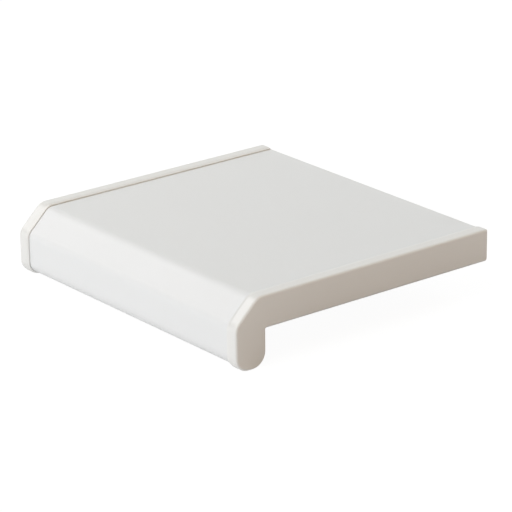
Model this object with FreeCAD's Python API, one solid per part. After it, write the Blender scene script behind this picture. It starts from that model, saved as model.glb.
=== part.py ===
"""A short window sill board of hollow extruded PVC, closed at both ends by moulded caps.

The board is a flat hollow plate whose front edge turns down into a deeper nose with a bevelled upper
corner and a rounded foot. Each cap is an end plate with a rim that wraps the board's outline, and hollow
plugs that push into every second chamber of the board and into the foot of the nose.

X runs along the sill, Y from the front of the nose to the window, Z up. The origin is the centre of the
underside that beds on the wall. All sizes are in millimetres.
"""
import FreeCAD
import Part

import math
import os

# The board's outline
board_length = 220.0
board_depth = 200.0
board_thickness = 20.0
nose_height = 42.5
nose_thickness = 20.2
bevel_depth = 16.0
bevel_drop = 15.3
bevel_top_radius = 8.2
bevel_front_radius = 6.6
nose_foot_radius = 8.5
edge_radius = 0.4
inner_corner_radius = 0.6

# The board's walls and chambers
top_wall = 2.6
nose_wall = 2.4
underside_wall = 2.0
back_wall = 2.4
web = 1.4
nose_top_run = 4.2
nose_web_drop = 4.0
chamber_count = 10
chamber_radius = 0.8

# The end caps
cap_plate = 2.4
rim_wall = 1.3
rim_clearance = 0.05
rim_reach = 7.2
rim_corner_relief = 4.0
cap_back_margin = 0.3
cap_back_radius = 1.8
cap_edge_radius = 1.6
rim_taper = 2.4
rim_taper_drop = 0.55
rim_edge_radius = 0.5
open_end_margin = 1.0

# The plugs inside the caps
plug_length = 9.0
plug_lead = 2.0
plug_taper = 0.35
plug_wall = 1.2
plug_clearance = 0.15
plug_every = 2

# Places that follow from the sizes above
rim_proud = rim_wall + rim_clearance
bedding_depth = board_depth - nose_thickness
back_y = bedding_depth / 2
nose_back_y = -bedding_depth / 2
front_y = nose_back_y - nose_thickness
top_z = board_thickness
foot_z = board_thickness - nose_height
end_x = board_length / 2
first_web_y = max(nose_back_y, front_y + bevel_depth + nose_top_run)
nose_web_z = min(0.0, top_z - bevel_drop) - nose_web_drop

# The outline's corners, in (y, z), going up the back edge, forward over the top and down round the nose
board_corners = [
    (back_y, 0.0),
    (back_y, top_z),
    (front_y + bevel_depth, top_z),
    (front_y, top_z - bevel_drop),
    (front_y, foot_z),
    (nose_back_y, foot_z),
    (nose_back_y, 0.0),
]
board_radii = [
    edge_radius,
    edge_radius,
    bevel_top_radius,
    bevel_front_radius,
    nose_foot_radius,
    nose_foot_radius,
    inner_corner_radius,
]


def moved(corners, distances):
    """The polygon whose edges have moved outward by the given distances. Edge i starts at corner i."""
    lines = []
    for i, start in enumerate(corners):
        end = corners[(i + 1) % len(corners)]
        length = math.hypot(end[0] - start[0], end[1] - start[1])
        along = ((end[0] - start[0]) / length, (end[1] - start[1]) / length)
        outward = (along[1], -along[0])
        point = (start[0] + outward[0] * distances[i], start[1] + outward[1] * distances[i])
        lines.append((point, along))
    result = []
    for i, (point, along) in enumerate(lines):
        before, direction = lines[i - 1]
        cross = direction[0] * along[1] - direction[1] * along[0]
        gap = (point[0] - before[0], point[1] - before[1])
        reach = (gap[0] * along[1] - gap[1] * along[0]) / cross
        result.append((before[0] + direction[0] * reach, before[1] + direction[1] * reach))
    return result


def rounded_wire(corners, radii, x):
    """A closed wire in the plane at x, with a tangent arc at each corner that has a radius."""
    points = [FreeCAD.Vector(x, y, z) for y, z in corners]
    starts, ends, arcs = [], [], []
    for i, corner in enumerate(points):
        to_last = (points[i - 1] - corner).normalize()
        to_next = (points[(i + 1) % len(points)] - corner).normalize()
        if radii[i] <= 0:
            starts.append(corner)
            ends.append(corner)
            arcs.append(None)
            continue
        half = to_last.getAngle(to_next) / 2
        run = radii[i] / math.tan(half)
        inward = (to_last + to_next).normalize()
        nearest = corner + inward * (radii[i] / math.sin(half) - radii[i])
        starts.append(corner + to_last * run)
        ends.append(corner + to_next * run)
        arcs.append(Part.Arc(starts[i], nearest, ends[i]).toShape())
    edges = []
    for i, arc in enumerate(arcs):
        if arc is not None:
            edges.append(arc)
        edges.append(Part.LineSegment(ends[i], starts[(i + 1) % len(points)]).toShape())
    return Part.Wire(edges)


def extruded(corners, radii, x, length):
    """A solid bar with this section, from x along +X."""
    section = Part.Face(rounded_wire(corners, radii, x))
    return section.extrude(FreeCAD.Vector(length, 0, 0))


def rectangle(low_y, high_y, low_z, high_z):
    return [(high_y, low_z), (high_y, high_z), (low_y, high_z), (low_y, low_z)]


def plate_chambers():
    """The row of rectangular chambers between the nose and the back edge."""
    room = back_y - back_wall - first_web_y
    width = room / chamber_count - web
    chambers = []
    for i in range(chamber_count):
        high_y = back_y - back_wall - (chamber_count - 1 - i) * (width + web)
        corners = rectangle(high_y - width, high_y, underside_wall, top_z - top_wall)
        chambers.append((corners, [chamber_radius] * 4))
    return chambers


def upper_nose_chamber():
    """The chamber behind the bevel, from the plate's first web down to the web that crosses the nose."""
    inner_y = nose_back_y - nose_wall
    outline = [
        (first_web_y, underside_wall),
        (first_web_y, top_z),
        (front_y + bevel_depth, top_z),
        (front_y, top_z - bevel_drop),
        (front_y, nose_web_z),
        (inner_y, nose_web_z),
        (inner_y, underside_wall),
    ]
    corners = moved(outline, [0, -top_wall, -nose_wall, -nose_wall, 0, 0, 0])
    return corners, [chamber_radius] * len(corners)


def foot_chamber():
    """The chamber in the foot of the nose, below the web."""
    low_z = foot_z + nose_wall
    corners = rectangle(front_y + nose_wall, nose_back_y - nose_wall, low_z, nose_web_z - web)
    foot_radius = nose_foot_radius - nose_wall
    return corners, [foot_radius, chamber_radius, chamber_radius, foot_radius]


def sill_board():
    board = extruded(board_corners, board_radii, -end_x, board_length)
    hollows = [*plate_chambers(), upper_nose_chamber(), foot_chamber()]
    return board.cut([extruded(corners, radii, -end_x, board_length) for corners, radii in hollows])


def inset(chamber, distance):
    """A chamber's outline drawn in by a distance. A corner is sharp once its radius is used up."""
    corners, radii = chamber
    smaller = [max(radius - distance, 0) for radius in radii]
    return moved(corners, [-distance] * len(corners)), smaller


def plug(chamber):
    """The hollow plug that pushes into a chamber, with its flat sides tapered towards the open tip."""
    tip_x = end_x - plug_length
    lead_x = tip_x + plug_lead
    outline, radii = inset(chamber, plug_clearance)
    tip, _ = inset(chamber, plug_clearance + plug_taper)
    sharp = [0] * len(outline)
    body = extruded(outline, radii, tip_x, plug_length)
    lead = Part.makeLoft([rounded_wire(tip, sharp, tip_x), rounded_wire(outline, sharp, lead_x)], True, True)
    straight = extruded(outline, sharp, lead_x, end_x - lead_x)
    hollow = extruded(*inset(chamber, plug_clearance + plug_wall), tip_x, plug_length)
    return body.common(lead.fuse(straight)).cut(hollow)


def edges_at(shape, x):
    """The edges that lie wholly in the plane at x."""
    return [e for e in shape.Edges if abs(e.BoundBox.XMin - x) < 1e-6 and abs(e.BoundBox.XMax - x) < 1e-6]


def end_cap():
    """The cap on the +X end: a plate with a rim round the board's outline, and its plugs."""
    rim_x = end_x - rim_reach
    face_x = end_x + cap_plate
    proud = rim_proud
    corners = moved(board_corners, [cap_back_margin, proud, proud, proud, proud, proud, 0])
    radii = [radius + proud for radius in board_radii]
    radii[0] = radii[1] = cap_back_radius
    radii[-1] = inner_corner_radius
    cap = extruded(corners, radii, rim_x, face_x - rim_x)
    cap = cap.makeChamfer(rim_taper, rim_taper_drop, edges_at(cap, rim_x))
    cap = cap.makeFillet(rim_edge_radius, edges_at(cap, rim_x))
    cap = cap.makeFillet(cap_edge_radius, edges_at(cap, face_x))

    gap = rim_clearance
    behind = cap_back_margin + open_end_margin
    seat = moved(board_corners, [behind, gap, gap, gap, gap, gap, rim_corner_relief])
    seat_radii = [0, 0, *(radius + gap for radius in board_radii[2:-1]), 0]
    cap = cap.cut(extruded(seat, seat_radii, rim_x, rim_reach))

    plugged = [*plate_chambers()[1::plug_every], foot_chamber()]
    return cap.fuse([plug(chamber) for chamber in plugged]).removeSplitter()


def as_solid(shape):
    """The one solid of a shape, which is all that a moulded or extruded piece may hold."""
    if len(shape.Solids) != 1:
        raise ValueError(f"a piece came out as {len(shape.Solids)} solids")
    solid = shape.Solids[0]
    if not solid.isValid():
        raise ValueError("a piece came out invalid")
    return solid


right_cap = as_solid(end_cap())
pieces = {
    "sill_board": as_solid(sill_board()),
    "end_cap_right": right_cap,
    "end_cap_left": as_solid(right_cap.mirror(FreeCAD.Vector(0, 0, 0), FreeCAD.Vector(1, 0, 0))),
}

os.makedirs("parts", exist_ok=True)
for name, solid in pieces.items():
    solid.exportStep(f"parts/{name}.step")
    box = solid.optimalBoundingBox()
    print(f"{name}: {box.XLength:.2f} x {box.YLength:.2f} x {box.ZLength:.2f} mm, {solid.Volume:.0f} mm3")
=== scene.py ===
"""The looks of the window sill board: its plastics, a pale floor, soft studio light and the camera."""

import math

import bpy
from mathutils import Matrix, Vector


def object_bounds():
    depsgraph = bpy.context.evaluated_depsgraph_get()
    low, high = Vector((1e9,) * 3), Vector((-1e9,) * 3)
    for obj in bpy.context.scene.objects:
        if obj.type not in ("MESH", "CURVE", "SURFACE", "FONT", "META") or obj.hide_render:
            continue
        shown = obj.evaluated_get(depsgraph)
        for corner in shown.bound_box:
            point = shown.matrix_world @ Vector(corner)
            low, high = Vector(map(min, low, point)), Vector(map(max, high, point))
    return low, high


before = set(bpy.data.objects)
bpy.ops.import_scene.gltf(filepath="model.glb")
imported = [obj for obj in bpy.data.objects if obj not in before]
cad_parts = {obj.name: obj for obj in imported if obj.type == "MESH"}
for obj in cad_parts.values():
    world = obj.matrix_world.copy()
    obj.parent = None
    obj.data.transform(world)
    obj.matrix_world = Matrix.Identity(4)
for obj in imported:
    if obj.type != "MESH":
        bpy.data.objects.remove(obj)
cad_low, cad_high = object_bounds()

# The photograph's camera, in degrees and metres. Its lens and sensor are in millimetres
camera_azimuth = 51.461
camera_elevation = 20.234
camera_roll = -0.54
camera_place = (1.369616, -1.097186, 0.639911)
camera_lens = 205.854
sensor_width = 36.0
camera_clip = (0.05, 60.0)

white = (1.0, 1.0, 1.0)
cool_white = (0.7, 0.92, 1.0)
amber = (1.0, 0.5, 0.1)

# Wide soft lights as (azimuth, elevation, spread in degrees, strength, colour), with azimuth 0 in front
# of the sill and 90 at its right end
soft_lights = {
    "front": (0, 14, 46, 1.02, white),
    "front_high": (0, 46, 50, 1.24, white),
    "sweep": (-130, 16, 50, 0.45, white),
    "back": (180, 46, 50, 0.81, cool_white),
    "top": (0, 85, 50, 0.55, white),
    "warm": (120, 32, 70, 0.58, amber),
}

# The lamp at the left stands close, so the sill is a little brighter at that end. Its reflection makes
# the bevel the brightest face
near_lamp_azimuth = -58
near_lamp_elevation = 40
near_lamp_distance = 0.95
near_lamp_radius = 0.27
near_lamp_strength = 0.61

# The room's own light, and the floor's. The camera sees the floor almost white. Towards the part the
# floor glows with painted bounce light, which is weaker and falls to shadow_bounce in a painted shadow
# over a box under the part, in metres
room_light = 0.01
floor_reach = 12.0
floor_roughness = 0.9
floor_glow = 0.95
floor_shade = 0.06
floor_reflectance = 0.3
floor_bounce = 0.57
shadow_bounce = 0.08
shadow_centre = (0.0, 0.012, 0.0)
shadow_half = (0.112, 0.06, 0.0)
shadow_fade = 0.083

# Each plastic's colour drifts between its tint and its shade, and its relief is in metres. The caps are
# glossier and smoother than the board
board_tint = (0.763, 0.769, 0.77)
board_shade = (0.748, 0.754, 0.755)
board_roughness = 0.42
board_relief = 0.00008
cap_tint = (0.76, 0.757, 0.738)
cap_shade = (0.748, 0.745, 0.726)
cap_roughness = 0.29
cap_relief = 0.00001

# The noises in both plastics, with scales in cells per metre: slow drifts of colour, a fine grain, and
# flow lines that run along X. A share of the flow lines adds to the grain's relief
cloud_scale = 9.0
cloud_detail = 3.0
grain_scale = 3200.0
grain_detail = 4.0
flow_scale = (4.0, 900.0, 900.0)
flow_detail = 2.0
flow_share = 0.35
gloss_variation = 0.04

# The numbers of a colour mix's sockets, whose names are also those of other sockets on the node
mix_factor, mix_first, mix_second, mix_result = 0, 6, 7, 2


def add(tree, kind, **settings):
    """Adds a node and sets its properties and input values by name."""
    node = tree.nodes.new(kind)
    for name, value in settings.items():
        if hasattr(node, name):
            setattr(node, name, value)
        else:
            node.inputs[name.replace("_", " ")].default_value = value
    return node


def plastic(name, tint, shade, roughness, relief_height):
    """A matt white plastic with a fine grain, faint flow lines along X and slightly uneven gloss."""
    material = bpy.data.materials.new(name)
    material.use_nodes = True
    tree = material.node_tree
    link = tree.links.new
    surface = tree.nodes["Principled BSDF"]
    place = add(tree, "ShaderNodeTexCoord")

    clouds = add(tree, "ShaderNodeTexNoise", Scale=cloud_scale, Detail=cloud_detail)
    link(place.outputs["Object"], clouds.inputs["Vector"])
    tone = add(tree, "ShaderNodeMix", data_type="RGBA")
    tone.inputs[mix_first].default_value = (*shade, 1)
    tone.inputs[mix_second].default_value = (*tint, 1)
    link(clouds.outputs["Fac"], tone.inputs[mix_factor])
    link(tone.outputs[mix_result], surface.inputs["Base Color"])

    stretch = add(tree, "ShaderNodeMapping", Scale=flow_scale)
    link(place.outputs["Object"], stretch.inputs["Vector"])
    lines = add(tree, "ShaderNodeTexNoise", Scale=1.0, Detail=flow_detail)
    link(stretch.outputs["Vector"], lines.inputs["Vector"])
    grain = add(tree, "ShaderNodeTexNoise", Scale=grain_scale, Detail=grain_detail)
    link(place.outputs["Object"], grain.inputs["Vector"])

    gloss = add(
        tree,
        "ShaderNodeMapRange",
        To_Min=roughness - gloss_variation,
        To_Max=roughness + gloss_variation,
    )
    link(grain.outputs["Fac"], gloss.inputs["Value"])
    link(gloss.outputs["Result"], surface.inputs["Roughness"])

    # The relief is flow_share of the lines plus the grain
    relief = add(tree, "ShaderNodeMath", operation="MULTIPLY_ADD")
    relief.inputs[1].default_value = flow_share
    link(lines.outputs["Fac"], relief.inputs[0])
    link(grain.outputs["Fac"], relief.inputs[2])
    bump = add(tree, "ShaderNodeBump", Strength=1.0, Distance=relief_height)
    link(relief.outputs["Value"], bump.inputs["Height"])
    link(bump.outputs["Normal"], surface.inputs["Normal"])
    return material


def floor_paper():
    """The floor's white paper, evenly bright for the camera, and for the part a weaker painted glow with
    a painted shadow.
    """
    paper = bpy.data.materials.new("floor_paper")
    paper.use_nodes = True
    tree = paper.node_tree
    link = tree.links.new
    surface = tree.nodes["Principled BSDF"]
    surface.inputs["Roughness"].default_value = floor_roughness
    surface.inputs["Emission Color"].default_value = (*white, 1)
    seen = add(tree, "ShaderNodeLightPath").outputs["Is Camera Ray"]

    # How far a point lies outside the painted shadow's box along X and along Y, of which the larger
    # counts
    offset = add(tree, "ShaderNodeNewGeometry").outputs["Position"]
    operations = (("SUBTRACT", shadow_centre), ("ABSOLUTE", (0, 0, 0)), ("SUBTRACT", shadow_half))
    for operation, values in operations:
        step = add(tree, "ShaderNodeVectorMath", operation=operation)
        step.inputs[1].default_value = values
        link(offset, step.inputs[0])
        offset = step.outputs["Vector"]
    sides = add(tree, "ShaderNodeSeparateXYZ")
    link(offset, sides.inputs["Vector"])
    outside = add(tree, "ShaderNodeMath", operation="MAXIMUM")
    link(sides.outputs["X"], outside.inputs[0])
    link(sides.outputs["Y"], outside.inputs[1])

    # The painted bounce light the part gets from the floor: shadow_bounce inside the box as a painted
    # shadow, rising to floor_bounce over shadow_fade outside it
    bounce = add(
        tree,
        "ShaderNodeMapRange",
        interpolation_type="SMOOTHSTEP",
        From_Max=shadow_fade,
        To_Min=shadow_bounce,
        To_Max=floor_bounce,
    )
    link(outside.outputs["Value"], bounce.inputs["Value"])
    # Camera rays see the even floor_glow and floor_shade. Other rays see the painted bounce light and
    # floor_reflectance
    reflectance = add(tree, "ShaderNodeMapRange", To_Min=floor_reflectance, To_Max=floor_shade)
    glow = add(tree, "ShaderNodeMapRange", To_Max=floor_glow)
    link(bounce.outputs["Result"], glow.inputs["To Min"])
    for choice, name in ((reflectance, "Base Color"), (glow, "Emission Strength")):
        link(seen, choice.inputs["Value"])
        link(choice.outputs["Result"], surface.inputs[name])
    return paper


def placed(name, data):
    """A new object in the scene that holds this mesh, light or camera."""
    obj = bpy.data.objects.new(name, data)
    bpy.context.collection.objects.link(obj)
    return obj


def studio_floor():
    """A wide square of paper at the foot of the nose, where the part stands."""
    mesh = bpy.data.meshes.new("floor")
    corners = [(-1, -1), (1, -1), (1, 1), (-1, 1)]
    mesh.from_pydata([(x * floor_reach, y * floor_reach, 0) for x, y in corners], [], [(0, 1, 2, 3)])
    mesh.materials.append(floor_paper())
    obj = placed("floor", mesh)
    obj.location.z = cad_low.z
    return obj


def studio_world():
    """The even white light of the room."""
    world = bpy.data.worlds.new("studio")
    world.use_nodes = True
    background = world.node_tree.nodes["Background"]
    background.inputs["Color"].default_value = (*white, 1)
    background.inputs["Strength"].default_value = room_light
    return world


def direction(azimuth, elevation):
    """The unit vector from the part towards a place at this azimuth and elevation."""
    azimuth, elevation = math.radians(azimuth), math.radians(elevation)
    level = math.cos(elevation)
    return Vector((math.sin(azimuth) * level, -math.cos(azimuth) * level, math.sin(elevation)))


def soft_light(name, azimuth, elevation, spread, strength, colour):
    """A light from far away, as wide across the sky as its spread."""
    light = bpy.data.lights.new(name, "SUN")
    light.angle = math.radians(spread)
    light.energy = strength
    light.color = colour
    obj = placed(name, light)
    obj.rotation_euler = direction(azimuth, elevation).to_track_quat("Z", "Y").to_euler()


def near_lamp():
    """A round lamp that faces the part. Its power grows with its distance, to keep its strength there."""
    lamp = bpy.data.lights.new("near_lamp", "AREA")
    lamp.shape = "DISK"
    lamp.size = 2 * near_lamp_radius
    lamp.energy = near_lamp_strength * math.pi * (near_lamp_distance**2 + near_lamp_radius**2)
    toward_lamp = direction(near_lamp_azimuth, near_lamp_elevation)
    obj = placed("near_lamp", lamp)
    obj.location = toward_lamp * near_lamp_distance
    obj.rotation_euler = toward_lamp.to_track_quat("Z", "Y").to_euler()
    obj.visible_camera = False


def photo_camera():
    """The photograph's camera, turned by camera_roll about its line of sight."""
    camera = bpy.data.cameras.new("camera")
    camera.lens = camera_lens
    camera.sensor_width = sensor_width
    camera.clip_start, camera.clip_end = camera_clip
    back = direction(camera_azimuth, camera_elevation)
    right = Vector((0, 0, 1)).cross(back).normalized()
    up = back.cross(right)
    roll = math.radians(camera_roll)
    turned_right = right * math.cos(roll) + up * math.sin(roll)
    turned_up = up * math.cos(roll) - right * math.sin(roll)
    axes = Matrix((turned_right, turned_up, back)).transposed().to_4x4()
    obj = placed("camera", camera)
    obj.matrix_world = Matrix.Translation(camera_place) @ axes
    return obj


board_plastic = plastic("board_pvc", board_tint, board_shade, board_roughness, board_relief)
cap_plastic = plastic("cap_plastic", cap_tint, cap_shade, cap_roughness, cap_relief)
plastics = {"sill_board": board_plastic, "end_cap_left": cap_plastic, "end_cap_right": cap_plastic}
for node, material in plastics.items():
    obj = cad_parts[node]
    obj.data.materials.clear()
    obj.data.materials.append(material)

floor = studio_floor()

bpy.context.scene.world = studio_world()
for name, settings in soft_lights.items():
    soft_light(name, *settings)
near_lamp()

bpy.context.scene.camera = photo_camera()
bpy.context.scene.view_settings.view_transform = "Standard"
